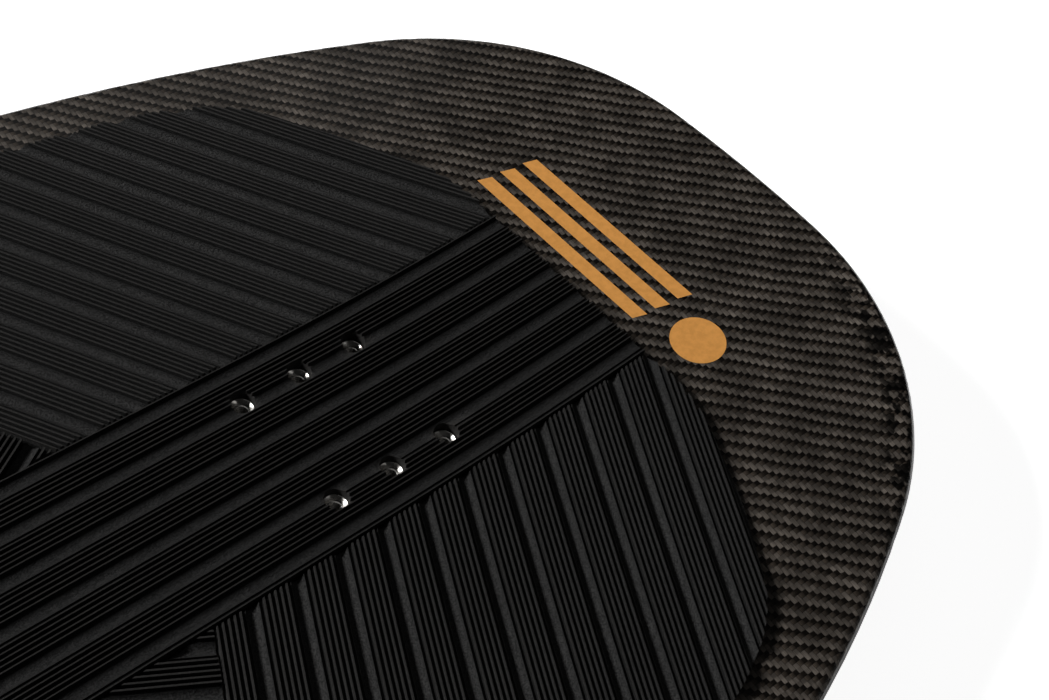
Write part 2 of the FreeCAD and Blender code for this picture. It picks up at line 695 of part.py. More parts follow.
# The screw's head rests on the seal ring, which lies on the floor of the counterbore.
head_floor = seat + 2 * dim("seal_cord")
head_top = head_floor + dim("screw_head_depth")
shank_end = head_floor - dim("screw_length")
vent_screw = revolved("vent_screw", (
    (0, shank_end), (dim("screw_shank"), shank_end), (dim("screw_shank"), head_floor),
    (dim("screw_head"), head_floor), (dim("screw_head"), head_top), (0, head_top),
))
coin = new_sketch(vent_screw, "coin_sketch", "XY_Plane", height=str(head_top))
coin_length = (2 * (dim("screw_head") + SURPLUS), f"2 * (dims.screw_head + {SURPLUS})")
rectangle(coin, "coin", coin_length, sized("coin_slot"))
pocket(vent_screw, coin, "coin_slot", "dims.coin_depth")
nodes["vent_screw"] = vent_screw
nodes["vent_seal"] = part_object(
    "Part::Torus", "vent_seal", Radius1="dims.seal_radius", Radius2="dims.seal_cord",
    Placement__Base__x="dims.vent_place",
    Placement__Base__z="dims.board_depth - dims.vent_seat_depth + dims.seal_cord",
)
flange_hole = cylinder("flange_hole", "dims.vent_flange", f"dims.vent_flange_depth + {SURPLUS}",
                       "dims.vent_place", "0", "dims.board_depth - dims.vent_flange_depth")
barrel_hole = cylinder("barrel_hole", "dims.vent_barrel", f"dims.vent_depth + {SURPLUS}",
                       "dims.vent_place", "0", "dims.board_depth - dims.vent_depth")
vent_hole = fuse("vent_hole", flange_hole, barrel_hole)
core_cutters.append(vent_hole)
deck_cutters.append(vent_hole)
strip_cutters.append(cylinder("vent_window_hole", "dims.vent_window", str(2 * SURPLUS),
                              "dims.vent_place", "0", f"dims.board_depth - {SURPLUS}"))

# ------------------------------------------------------------------------------- skins and core

doc.recompute()
nodes["deck_laminate"] = boolean("Part::Cut", "deck_laminate", deck_blank, fuse("deck_holes", *deck_cutters))
nodes["hull_laminate"] = boolean("Part::Cut", "hull_laminate", hull_blank, tracks)
nodes["foam_core"] = boolean("Part::Cut", "foam_core", inner, fuse("core_hollows", *core_cutters))

# ------------------------------------------------------------------------------- EVA deck pads

pad_layer = layer_form("pad_layer", 0.0, dim("pad_depth"))
strip_length = "dims.pad_nose_end - dims.pad_tail_end"
strip_middle = "(dims.pad_nose_end + dims.pad_tail_end) / 2"
strip_form = box("strip_form", strip_length, "2 * dims.strip_half", str(TALL), strip_middle, "0", "0")
strip_blank = common("strip_blank", pad_layer, strip_form)
nodes["centre_strip_pad"] = boolean("Part::Cut", "centre_strip_pad", strip_blank,
                                    fuse("strip_holes", *strip_cutters))


pad_edge = [(dim(f"{arc}_radius"), dim(f"{arc}_heading")) for arc in PAD_ARCS]


def side_form(name, sign):
    """Upright prism under the side pads' outline, from the strip's edge to the curved outer edge."""
    inner_y = dim("strip_half") + dim("pad_gap")
    nose_end = dim("pad_nose_end")
    tail_end = dim("pad_tail_end")
    edges = []
    for end_x, way in ((nose_end, 1), (tail_end, -1)):
        centre = vector(end_x - way * dim("pad_tip_radius"), dim("pad_straight"))
        run = []
        for at, radius, heading_in, heading_out in arc_chain(vector(0, 0), pad_edge):
            place = vector(centre.x + way * at.x, sign * (centre.y + at.y))
            ends = [heading_in, heading_out]
            if way < 0:
                ends = [180 - heading for heading in ends]
            if sign < 0:
                ends = [-heading for heading in ends]
            run.append(arc_edge(place, radius, min(ends), max(ends)))
        edges.append(run)
    front, rear = edges
    widest = dim("pad_straight") + sum_of_rises(pad_edge)
    front_run = dim("pad_nose_end") - sum_of_falls(pad_edge)
    rear_run = dim("pad_tail_end") + sum_of_falls(pad_edge)
    corners = [
        (vector(nose_end, sign * inner_y), vector(nose_end, sign * dim("pad_straight"))),
        (vector(front_run, sign * widest), vector(rear_run, sign * widest)),
        (vector(tail_end, sign * dim("pad_straight")), vector(tail_end, sign * inner_y)),
        (vector(tail_end, sign * inner_y), vector(nose_end, sign * inner_y)),
    ]
    lines = [Part.LineSegment(*pair) for pair in corners]
    body = new_body(name)
    sketch = new_sketch(body, f"{name}_plan", "XY_Plane")
    for edge in [lines[0]] + front + [lines[1]] + rear[::-1] + lines[2:]:
        sketch.addGeometry(edge, False)
    sketch.detectMissingPointOnPointConstraints(1e-5)
    sketch.makeMissingPointOnPointCoincident()
    for index, (arc, (radius, _)) in enumerate(zip(PAD_ARCS, pad_edge), start=1):
        bound_constraint(sketch, f"{arc}_arc", f"dims.{arc}_radius", "Radius", index, radius)
    pad(body, sketch, f"{name}_prism", str(TALL))
    return body


def sum_of_rises(turns):
    """How far a chain of arcs goes outwards."""
    return sum(radius * (math.sin(math.radians(out)) - math.sin(math.radians(into)))
               for _, radius, into, out in arc_chain(vector(0, 0), turns))


def sum_of_falls(turns):
    """How far a chain of arcs goes back from its straight end."""
    return sum(radius * (math.cos(math.radians(into)) - math.cos(math.radians(out)))
               for _, radius, into, out in arc_chain(vector(0, 0), turns))


def zone_form(name, sign, ahead, behind):
    """Upright prism between two seams. Each seam is (x at the strip's edge, degrees from the
    centreline on the way out), or None where the zone runs past the pads' end."""
    edge_y = dim("strip_half")
    far_y = dim("half_width") + SURPLUS
    gap = dim("pad_gap") / 2
    corners = []
    for seam, way, end_x in ((ahead, -1, ROOMY), (behind, 1, -ROOMY)):
        if seam is None:
            points = [vector(end_x, sign * edge_y), vector(end_x, sign * far_y)]
        else:
            x, angle = seam
            lean = math.radians(angle)
            shift = way * gap / math.sin(lean)
            reach = (far_y - edge_y) / math.tan(lean)
            points = [vector(x + shift, sign * edge_y), vector(x + shift + reach, sign * far_y)]
        corners.append(points)
    loop = [corners[0][0], corners[0][1], corners[1][1], corners[1][0]]
    body = new_body(name)
    sketch = new_sketch(body, f"{name}_plan", "XY_Plane")
    close_loop(sketch, [Part.LineSegment(loop[i], loop[(i + 1) % 4]) for i in range(4)])
    pad(body, sketch, f"{name}_prism", str(TALL))
    return body


# The front seam leans back on its way out, like the front pads' grooves; the rear seam mirrors it.
front_seam = (dim("front_seam"), 180 - dim("seam_angle"))
rear_seam = (dim("rear_seam"), dim("seam_angle"))
for side, sign in SIDES:
    form = side_form(f"pad_form_{side}", sign)
    zones = (("front", None, front_seam), ("mid", front_seam, rear_seam), ("rear", rear_seam, None))
    for zone, ahead, behind in zones:
        wedge = zone_form(f"{zone}_zone_{side}", sign, ahead, behind)
        name = f"{zone}_pad_{side}"
        nodes[name] = common(name, pad_layer, form, wedge)

# ------------------------------------------------------------------------------- check and write

doc.recompute()
for item in doc.Objects:
    faults = [state for state in item.State if state in ("Invalid", "Error")]
    if faults:
        raise RuntimeError(f"{item.Name}: {faults}")
for name, item in nodes.items():
    item.Label = name
    if item.Shape.isNull() or not item.Shape.isValid() or not item.Shape.Solids:
        raise RuntimeError(f"{name}: bad shape")

os.makedirs("parts", exist_ok=True)
for name, item in nodes.items():
    item.Shape.exportStep(f"parts/{name}.step")
    bounds = item.Shape.BoundBox
    print(f"{name:26s} solids {len(item.Shape.Solids)} volume {item.Shape.Volume:12.1f} "
          f"x {bounds.XMin:8.2f} {bounds.XMax:8.2f} y {bounds.YMin:8.2f} {bounds.YMax:8.2f} "
          f"z {bounds.ZMin:6.2f} {bounds.ZMax:6.2f}")
print(len(nodes), "nodes")
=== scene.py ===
import math

import bmesh
import bpy
import numpy as np
from mathutils import Matrix, Vector
from mathutils.geometry import convex_hull_2d


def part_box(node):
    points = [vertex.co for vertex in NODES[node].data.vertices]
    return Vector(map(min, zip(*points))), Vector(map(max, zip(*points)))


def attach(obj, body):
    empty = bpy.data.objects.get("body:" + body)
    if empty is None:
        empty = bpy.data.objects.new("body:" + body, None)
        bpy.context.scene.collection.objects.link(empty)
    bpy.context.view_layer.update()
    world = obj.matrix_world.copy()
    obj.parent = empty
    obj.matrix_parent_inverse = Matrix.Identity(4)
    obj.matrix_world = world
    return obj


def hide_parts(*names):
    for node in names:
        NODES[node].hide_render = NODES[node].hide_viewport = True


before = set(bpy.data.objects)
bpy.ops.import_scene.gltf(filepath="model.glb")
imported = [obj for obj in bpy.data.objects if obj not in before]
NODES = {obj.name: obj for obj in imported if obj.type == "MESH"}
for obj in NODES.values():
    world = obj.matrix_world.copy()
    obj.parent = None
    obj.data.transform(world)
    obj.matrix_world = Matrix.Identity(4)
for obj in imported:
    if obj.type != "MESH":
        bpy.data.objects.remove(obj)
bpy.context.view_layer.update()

# Row frame in metres: +X to the nose, +Y to port, +Z up, origin on the flat bottom.
MM = 0.001
STRIP_LOW, STRIP_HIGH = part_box("centre_strip_pad")
DECK = STRIP_LOW.z                  # flat part of the deck
KICK_START = 390.0 * MM             # where the deck starts to rise
KICK_RADIUS = 1159.0 * MM           # deck arc of the nose kick
PAD_DEPTH = 4.5 * MM
GRID_X = 406.5 * MM                 # middle of the front insert group


def deck_height(x):
    """Height of the deck at x, with the arc of the nose kick."""
    run = np.maximum(np.asarray(x, float) - KICK_START, 0.0)
    return DECK + KICK_RADIUS - np.sqrt(KICK_RADIUS ** 2 - run ** 2)


# ---------------------------------------------------------------- materials

class Look:
    """A material's node tree, built round one Principled shader."""

    def __init__(self, name, **sockets):
        self.material = bpy.data.materials.new(name)
        self.material.use_nodes = True
        self.tree = self.material.node_tree
        self.shader = self.tree.nodes["Principled BSDF"]
        for socket, value in sockets.items():
            self.shader.inputs[socket.replace("_", " ")].default_value = value
        self.position = self.node("ShaderNodeTexCoord").outputs["Object"]

    def node(self, kind, **settings):
        made = self.tree.nodes.new(kind)
        for name, value in settings.items():
            setattr(made, name, value)
        return made

    def feed(self, socket, value):
        """Set a socket to a number, or link it to another socket."""
        if isinstance(value, bpy.types.NodeSocket):
            self.tree.links.new(value, socket)
        else:
            socket.default_value = value

    def math(self, operation, first, second=0.0, clamp=False):
        made = self.node("ShaderNodeMath", operation=operation, use_clamp=clamp)
        self.feed(made.inputs[0], first)
        self.feed(made.inputs[1], second)
        return made.outputs[0]

    def span(self, value, low, high, to_low=0.0, to_high=1.0):
        """Map low..high smoothly to to_low..to_high."""
        made = self.node("ShaderNodeMapRange", interpolation_type="SMOOTHSTEP")
        for socket, entry in zip(made.inputs, (value, low, high, to_low, to_high)):
            self.feed(socket, entry)
        return made.outputs[0]

    def mix(self, share, first, second):
        """Mix of two numbers."""
        made = self.node("ShaderNodeMix", data_type="FLOAT")
        for index, entry in ((0, share), (2, first), (3, second)):
            self.feed(made.inputs[index], entry)
        return made.outputs[0]

    def tint(self, share, first, second, blend="MIX"):
        """Mix of two colours."""
        made = self.node("ShaderNodeMix", data_type="RGBA", blend_type=blend)
        for index, entry in ((0, share), (6, first), (7, second)):
            self.feed(made.inputs[index], entry)
        return made.outputs[2]

    def noise(self, scale, detail=2.0, roughness=0.5, vector=None):
        made = self.node("ShaderNodeTexNoise")
        self.feed(made.inputs["Vector"], vector or self.position)
        made.inputs["Scale"].default_value = scale
        made.inputs["Detail"].default_value = detail
        made.inputs["Roughness"].default_value = roughness
        return made.outputs["Fac"]

    def stretched(self, x, y, z):
        """Object coordinates with each axis scaled, for grain that runs one way."""
        made = self.node("ShaderNodeMapping")
        self.feed(made.inputs["Vector"], self.position)
        made.inputs["Scale"].default_value = (x, y, z)
        return made.outputs[0]

    def vector(self, x, y, z=0.0):
        made = self.node("ShaderNodeCombineXYZ")
        for socket, entry in zip(made.inputs, (x, y, z)):
            self.feed(socket, entry)
        return made.outputs[0]

    def colour(self, value):
        self.feed(self.shader.inputs["Base Color"], value)

    def roughness(self, value):
        self.feed(self.shader.inputs["Roughness"], value)

    def bump(self, height, distance, strength=1.0):
        made = self.node("ShaderNodeBump")
        made.inputs["Strength"].default_value = strength
        made.inputs["Distance"].default_value = distance
        self.feed(made.inputs["Height"], height)
        self.feed(self.shader.inputs["Normal"], made.outputs[0])


def grey(level, warmth=0.0):
    return (level * (1 + warmth), level, level * (1 - warmth), 1.0)


def dress(obj, look):
    """Put a material on all of an object."""
    obj.data.materials.clear()
    obj.data.materials.append(look.material)
    return obj


SKIN_FINISH_AND_SHADE = "skin_finish_and_shade"                   # mesh attribute that says how a pad's skin is finished and how much painted shade it gets, see below
TOW = 1.9 * MM                      # width of one tow of the carbon cloth
WEAVE_TURN = 0.09                   # the cloth lies a little off the board's axes, in radians
WANDER = 1.6                        # how far the tows stray from straight lines, in tows
TWILL_REPEAT = 4.0                  # tows until the pattern repeats
NOSE_CENTRE = 20.0 * MM             # an oval close to the outline of the nose
NOSE_LENGTH = 602.0 * MM
NOSE_WIDTH = 212.5 * MM
NOSE_POWER = 3.05


def twill(name, lit_tow, shaded_tow, coat, paint_rim_reflection):
    """2 x 2 twill under clear resin: two families of tows, each two over and two under."""
    look = Look(name, Coat_Weight=coat, Coat_Roughness=0.12, Specular_IOR_Level=0.07)
    turn = look.node("ShaderNodeMapping")
    look.feed(turn.inputs["Vector"], look.position)
    turn.inputs["Rotation"].default_value = (0.0, 0.0, WEAVE_TURN)
    turn.inputs["Scale"].default_value = (1 / TOW,) * 3
    wander = look.node("ShaderNodeTexNoise")
    look.feed(wander.inputs["Vector"], look.position)
    wander.inputs["Scale"].default_value = 34.0
    drift = look.node("ShaderNodeVectorMath", operation="MULTIPLY_ADD")
    look.feed(drift.inputs[0], wander.outputs["Color"])
    drift.inputs[1].default_value = (WANDER, WANDER, 0.0)
    look.feed(drift.inputs[2], turn.outputs[0])
    axes = look.node("ShaderNodeSeparateXYZ")
    look.feed(axes.inputs[0], drift.outputs[0])
    x, y = axes.outputs[0], axes.outputs[1]
    column = look.math("FLOOR", x)
    row = look.math("FLOOR", y)
    warp_run = look.math("FLOORED_MODULO", look.math("ADD", x, row), TWILL_REPEAT)
    weft_run = look.math("FLOORED_MODULO", look.math("ADD", y, column), TWILL_REPEAT)
    warp_up = look.math("LESS_THAN", warp_run, 2.0)
    warp_share = look.math("MULTIPLY", warp_run, 0.5)
    weft_share = look.math("SUBTRACT", look.math("MULTIPLY", weft_run, 0.5), 1.0)

    def crown(share, power):
        """1 in the middle of a span, 0 at both of its ends."""
        centred = look.math("ABSOLUTE", look.math("SUBTRACT", look.math("MULTIPLY", share, 2.0), 1.0))
        return look.math("SUBTRACT", 1.0, look.math("POWER", centred, power), clamp=True)

    warp_height = look.math("MULTIPLY", crown(look.math("FRACT", y), 3.5), crown(warp_share, 6.0))
    weft_height = look.math("MULTIPLY", crown(look.math("FRACT", x), 3.5), crown(weft_share, 6.0))
    height = look.mix(warp_up, weft_height, warp_height)

    # fibres along each tow, and tows that differ a little from each other
    along_warp = look.vector(look.math("MULTIPLY", x, 0.25), look.math("MULTIPLY", y, 9.0))
    along_weft = look.vector(look.math("MULTIPLY", x, 9.0), look.math("MULTIPLY", y, 0.25), 7.0)
    fibre_place = look.node("ShaderNodeMix", data_type="VECTOR")
    look.feed(fibre_place.inputs[0], warp_up)
    look.feed(fibre_place.inputs[4], along_weft)
    look.feed(fibre_place.inputs[5], along_warp)
    fibres = look.noise(1.0, 2.0, 0.6, fibre_place.outputs[1])
    patch = look.node("ShaderNodeTexWhiteNoise", noise_dimensions="3D")
    look.feed(patch.inputs["Vector"], look.vector(column, row, warp_up))
    uneven = look.span(look.noise(55.0, 2.0), 0.3, 0.7, 0.75, 1.25)

    # painted shade darkens the warp tows towards one end, and a painted highlight lightens the weft tows
    # towards one end
    warp_shaded_end = look.math("SUBTRACT", 0.72, look.math("MULTIPLY", warp_share, 1.05))
    warp_shaded_end = look.math("MAXIMUM", 0.09, warp_shaded_end)
    weft_lit_end = look.span(weft_share, 0.0, 1.0, 1.35, 0.8)
    level = look.mix(warp_up, weft_lit_end, warp_shaded_end)
    # painted shade in the creases between tows: darker where a tow's crown falls away at its edges and ends
    level = look.math("MULTIPLY", level, look.span(height, 0.0, 0.5, 0.3, 1.0))
    level = look.math("MULTIPLY", level, look.span(fibres, 0.3, 0.7, 0.62, 1.38))
    level = look.math("MULTIPLY", level, look.span(patch.outputs[0], 0.0, 1.0, 0.7, 1.25))
    level = look.math("MULTIPLY", level, uneven)

    # the cloth darkens where it turns down round the rim, and blotches of painted reflection break up the
    # deck's weave near the nose rim
    upright = look.node("ShaderNodeSeparateXYZ")
    look.feed(upright.inputs[0], look.node("ShaderNodeTexCoord").outputs["Normal"])
    lean = look.math("ABSOLUTE", upright.outputs[2])
    if paint_rim_reflection:
        plan = look.node("ShaderNodeSeparateXYZ")
        look.feed(plan.inputs[0], look.position)
        ahead = look.math("DIVIDE", look.math("SUBTRACT", plan.outputs[0], NOSE_CENTRE), NOSE_LENGTH)
        aside = look.math("DIVIDE", look.math("ABSOLUTE", plan.outputs[1]), NOSE_WIDTH)
        ahead = look.math("POWER", ahead, NOSE_POWER)
        aside = look.math("POWER", aside, NOSE_POWER)
        reach = look.math("POWER", look.math("ADD", ahead, aside), 1 / NOSE_POWER)
        near_rim = look.span(reach, 0.962, 0.985)
        near_rim = look.math("MULTIPLY", near_rim, look.span(plan.outputs[0], 0.50, 0.56))
        near_rim = look.math("MULTIPLY", near_rim, look.span(plan.outputs[1], -0.08, -0.02, 1.0, 0.0))
        # painted reflection: dark and light blotches where the deck curves down at the nose
        reflection_blotches = look.span(look.noise(170.0, 2.0, 0.6), 0.44, 0.52, 0.10, 1.3)
        level = look.mix(near_rim, level, look.math("MULTIPLY", level, reflection_blotches))
        look.feed(look.shader.inputs["Coat Weight"], look.span(lean, 0.4, 0.9, 0.1, coat))
    level = look.math("MULTIPLY", level, look.span(lean, 0.35, 0.8, 0.25, 1.0))
    # painted highlight and painted shade: one tow family takes the lit colour, the other the shaded colour
    # of the same cloth
    tows = look.tint(warp_up, lit_tow, shaded_tow)
    look.colour(look.tint(1.0, tows, look.vector(level, level, level), "MULTIPLY"))
    look.roughness(look.span(fibres, 0.2, 0.8, 0.34, 0.5))
    look.bump(look.math("ADD", height, look.math("MULTIPLY", fibres, 0.15)), 0.12 * MM, 0.8)
    return look


def foam_skin(name, level):
    """Closed-cell EVA: smooth on the ridge tops, open and fuzzy where the cutter has been, with painted
    shade deep in the grooves, at the hollows' lips and in the strip's hollows.
    """
    look = Look(name, Specular_IOR_Level=0.2)
    skin_finish_and_shade = look.node("ShaderNodeAttribute", attribute_name=SKIN_FINISH_AND_SHADE).outputs["Fac"]
    cells = look.noise(2600.0, 2.0, 0.65)
    nap = look.noise(1600.0, 3.0, 0.75)
    blotch = look.noise(14.0, 3.0, 0.6)
    open_cells = look.span(skin_finish_and_shade, 0.0, 0.5)
    speckle = look.mix(open_cells, look.span(nap, 0.4, 0.6, 0.7, 1.3), look.span(nap, 0.42, 0.58, 0.2, 1.75))
    shade = look.math("MULTIPLY", speckle, look.span(blotch, 0.3, 0.7, 0.88, 1.12))
    # painted shade: the skin darkens as the attribute climbs from the hollows' middles to the groove floors
    shade = look.math("MULTIPLY", shade, look.span(skin_finish_and_shade, 0.5, 1.0, 1.0, 0.30))
    tone = look.tint(open_cells, grey(level, 0.05), grey(level, 0.02))
    look.colour(look.tint(1.0, tone, look.vector(shade, shade, shade), "MULTIPLY"))
    look.roughness(look.span(cells, 0.3, 0.7, 0.58, 0.82))
    relief = look.math("ADD", look.math("MULTIPLY", cells, 0.4), nap)
    look.bump(look.math("MULTIPLY", relief, look.mix(open_cells, 0.35, 1.0)), 0.6 * MM)
    return look


def moulded(name, level, gloss=0.42):
    """Moulded plastic or rubber with a fine spark-eroded texture."""
    look = Look(name, Specular_IOR_Level=0.45)
    grain = look.noise(1800.0, 3.0, 0.6)
    cloud = look.noise(60.0, 2.0)
    look.colour(look.tint(look.span(cloud, 0.3, 0.7), grey(level * 0.85), grey(level * 1.15)))
    look.roughness(look.span(grain, 0.3, 0.7, gloss - 0.07, gloss + 0.08))
    look.bump(grain, 0.03 * MM, 0.6)
    return look


def turned_metal(name):
    """Stainless steel with fine turning marks."""
    look = Look(name, Metallic=1.0, Anisotropic=0.3)
    marks = look.noise(1.0, 3.0, 0.6, look.stretched(500.0, 500.0, 9000.0))
    smear = look.noise(160.0, 3.0)
    look.colour(look.tint(look.span(smear, 0.3, 0.7), (0.50, 0.48, 0.45, 1.0), (0.68, 0.66, 0.62, 1.0)))
    look.roughness(look.span(smear, 0.3, 0.7, 0.14, 0.3))
    look.bump(marks, 0.01 * MM, 0.4)
    return look


def beaded_foam(name, colour, cell):
    """Moulded bead foam, with the outlines of its beads."""
    look = Look(name, Roughness=0.85)
    beads = look.node("ShaderNodeTexVoronoi", feature="DISTANCE_TO_EDGE")
    look.feed(beads.inputs["Vector"], look.position)
    beads.inputs["Scale"].default_value = 1 / cell
    edge = look.span(beads.outputs["Distance"], 0.0, 0.12)
    dark = tuple(0.72 * c for c in colour[:3]) + (1.0,)
    look.colour(look.tint(edge, dark, colour))
    look.bump(edge, 0.3 * MM, 0.6)
    return look


def fibreglass(name):
    """Glass laminate on edge: thin layers, slightly green."""
    look = Look(name, Roughness=0.4, Coat_Weight=0.3)
    layers = look.noise(1.0, 3.0, 0.6, look.stretched(40.0, 2600.0, 2600.0))
    look.colour(look.tint(look.span(layers, 0.3, 0.7), (0.42, 0.46, 0.34, 1.0), (0.60, 0.62, 0.48, 1.0)))
    look.bump(layers, 0.05 * MM, 0.5)
    return look


def print_ink(name, colour):
    """Printed mark under the clear coat, with slightly uneven ink."""
    look = Look(name, Coat_Weight=0.6, Coat_Roughness=0.12, Specular_IOR_Level=0.4)
    ink = look.noise(420.0, 3.0, 0.6)
    deep = tuple(0.86 * c for c in colour[:3]) + (1.0,)
    look.colour(look.tint(look.span(ink, 0.3, 0.7), deep, colour))
    look.roughness(look.span(ink, 0.3, 0.7, 0.36, 0.5))
    look.bump(ink, 0.02 * MM, 0.4)
    return look


DECK_TOWS = ((0.064, 0.055, 0.047, 1.0), (0.052, 0.041, 0.032, 1.0))    # lit and shaded: painted highlight and painted shade of one cloth
# the hull's tows likewise: painted highlight, then painted shade
HULL_TOWS = ((0.050, 0.044, 0.039, 1.0), (0.034, 0.028, 0.023, 1.0))
deck_twill = twill("deck_twill", *DECK_TOWS, coat=1.0, paint_rim_reflection=True)
hull_twill = twill("hull_twill", *HULL_TOWS, coat=0.8, paint_rim_reflection=False)
eva = foam_skin("eva_foam", 0.0168)
steel = turned_metal("turned_stainless")
track_plastic = moulded("track_plastic", 0.016)
nylon = moulded("insert_nylon", 0.022, 0.36)
rubber = moulded("seal_rubber_skin", 0.012, 0.6)
core = beaded_foam("core_beads", (0.78, 0.77, 0.74, 1.0), 3.0 * MM)
dense = beaded_foam("dense_cells", (0.50, 0.40, 0.22, 1.0), 0.8 * MM)
glass = fibreglass("glass_laminate")
gold = print_ink("gold_ink", (0.70, 0.315, 0.075, 1.0))

NODE_LOOKS = {
    "deck_laminate": deck_twill,
    "hull_laminate": hull_twill,
    "foam_core": core,
    "stringer_port": glass,
    "stringer_starboard": glass,
    "mast_block": dense,
    "front_insert_block": dense,
    "rear_insert_block": dense,
    "front_insert_plugs": nylon,
    "rear_insert_plugs": nylon,
    "track_box_port": track_plastic,
    "track_box_starboard": track_plastic,
    "track_nut_front_port": steel,
    "track_nut_front_starboard": steel,
    "track_nut_rear_port": steel,
    "track_nut_rear_starboard": steel,
    "vent_body": nylon,
    "vent_screw": steel,
    "vent_seal": rubber,
}
for node_name, node_look in NODE_LOOKS.items():
    dress(NODES[node_name], node_look)


# ---------------------------------------------------------------- meshes

def piece(name, vertices, faces, smooth, look, body="board"):
    """A mesh object from arrays, riding on a body. smooth says which faces are shaded smooth."""
    mesh = bpy.data.meshes.new(name)
    mesh.from_pydata([tuple(v) for v in vertices], [], [tuple(int(i) for i in f) for f in faces])
    mesh.polygons.foreach_set("use_smooth", np.asarray(smooth, bool))
    mesh.update()
    obj = bpy.data.objects.new(name, mesh)
    bpy.context.scene.collection.objects.link(obj)
    dress(obj, look)
    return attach(obj, body)


def grid_faces(rows, columns, closed=False):
    """Quads of a grid of points, row by row. closed joins each row's last point to its first."""
    across = columns if closed else columns - 1
    i, j = np.meshgrid(np.arange(rows - 1), np.arange(across), indexing="ij")
    i, j = i.ravel(), j.ravel()
    k = (j + 1) % columns
    this_row, next_row = i * columns, (i + 1) * columns
    return np.stack([this_row + j, this_row + k, next_row + k, next_row + j], 1)


# ---------------------------------------------------------------- deck pads

LIP_DROP = 0.8 * MM                 # rim of a hollow, below the ridge tops
RIDGES = 5                          # ridges between one hollow and the next
TOP_CUT, GROOVE_CUT_AND_SHADE = 0.0, 1.0      # finish of the ridge tops and of the groove floors, where the painted shade is darkest
HOLLOW_CUT = 0.5                    # finish in the middle of the side pads' hollows
STRIP_HOLLOW_CUT_AND_SHADE = 0.74             # the strip's hollows are darker with painted shade
LIP_CUT_AND_SHADE = 0.6                       # share of the way to the groove floors' finish and painted shade at a hollow's lips


def ridged_profile(pitch, module, top_width, floor_width, groove_depth, trough_depth, hollow_cut_and_shade=HOLLOW_CUT):
    """One module of a grooved pad: a hollow, then five ridges, as (distance, height, cut) points.

    Heights are measured from the ridge tops, cut says how the skin is finished there and how much painted
    shade it gets, and the module starts in the middle of its hollow."""
    hollow = (module - RIDGES * pitch) / 2
    lip = hollow - floor_width / 2 - (pitch - floor_width - top_width) / 2
    # the dish's lips take part of the groove floors' finish and painted shade
    dish = [(lip * share, -LIP_DROP - (trough_depth - LIP_DROP) * math.cos(share * math.pi / 2) ** 0.8,
             hollow_cut_and_shade + LIP_CUT_AND_SHADE * (GROOVE_CUT_AND_SHADE - hollow_cut_and_shade) * share ** 3)
            for share in (0.0, 0.25, 0.45, 0.62, 0.78, 0.9, 1.0)]
    points = list(dish)
    for ridge in range(RIDGES + 1):
        groove = hollow + ridge * pitch
        points.append((groove - floor_width / 2, -groove_depth, GROOVE_CUT_AND_SHADE))
        points.append((groove + floor_width / 2, -groove_depth, GROOVE_CUT_AND_SHADE))
        if ridge < RIDGES:
            crest = groove + pitch / 2
            for share, drop, cut in ((-0.51, 0.16, GROOVE_CUT_AND_SHADE), (-0.5, 0.06, TOP_CUT), (-0.42, 0.0, TOP_CUT),
                                     (0.42, 0.0, TOP_CUT), (0.5, 0.06, TOP_CUT), (0.51, 0.16, GROOVE_CUT_AND_SHADE)):
                points.append((crest + share * top_width, -drop * MM, cut))
    points += [(module - place, height, cut) for place, height, cut in dish[:0:-1]]
    return points


def tiled(profile, module, phase, low, high):
    """The profile repeated from low to high, as sorted arrays of places, heights, and the cut finish with
    its painted shade.
    """
    first = math.floor((low - phase) / module) - 1
    last = math.ceil((high - phase) / module) + 1
    rows = np.array([(phase + turn * module + place, height, cut)
                     for turn in range(first, last) for place, height, cut in profile])
    keep = rows[(rows[:, 0] > low) & (rows[:, 0] < high)]
    places = np.concatenate(([low], keep[:, 0], [high]))
    return places, np.interp(places, rows[:, 0], rows[:, 1]), np.interp(places, rows[:, 0], rows[:, 2])


def outline_of(node):
    """Plan outline of a convex CAD node, as an array of points."""
    points = np.array([v.co[:2] for v in NODES[node].data.vertices], float)
    return points[convex_hull_2d([Vector(p) for p in points])]


def chord(hull, across, along, place):
    """Where the line at place, measured across, enters and leaves a convex outline, measured along."""
    q = hull @ across - place
    t = hull @ along
    q_next, t_next = np.roll(q, -1), np.roll(t, -1)
    cut = (q * q_next <= 0) & (np.abs(q_next - q) > 1e-12)
    share = -q[cut] / (q_next[cut] - q[cut])
    crossing = t[cut] + share * (t_next[cut] - t[cut])
    return crossing.min(), crossing.max()


EDGE_TRIM = 0.02 * MM               # keeps the first and last rows off the outline's own ends
CREASE = math.radians(28.0)         # edges sharper than this stay sharp


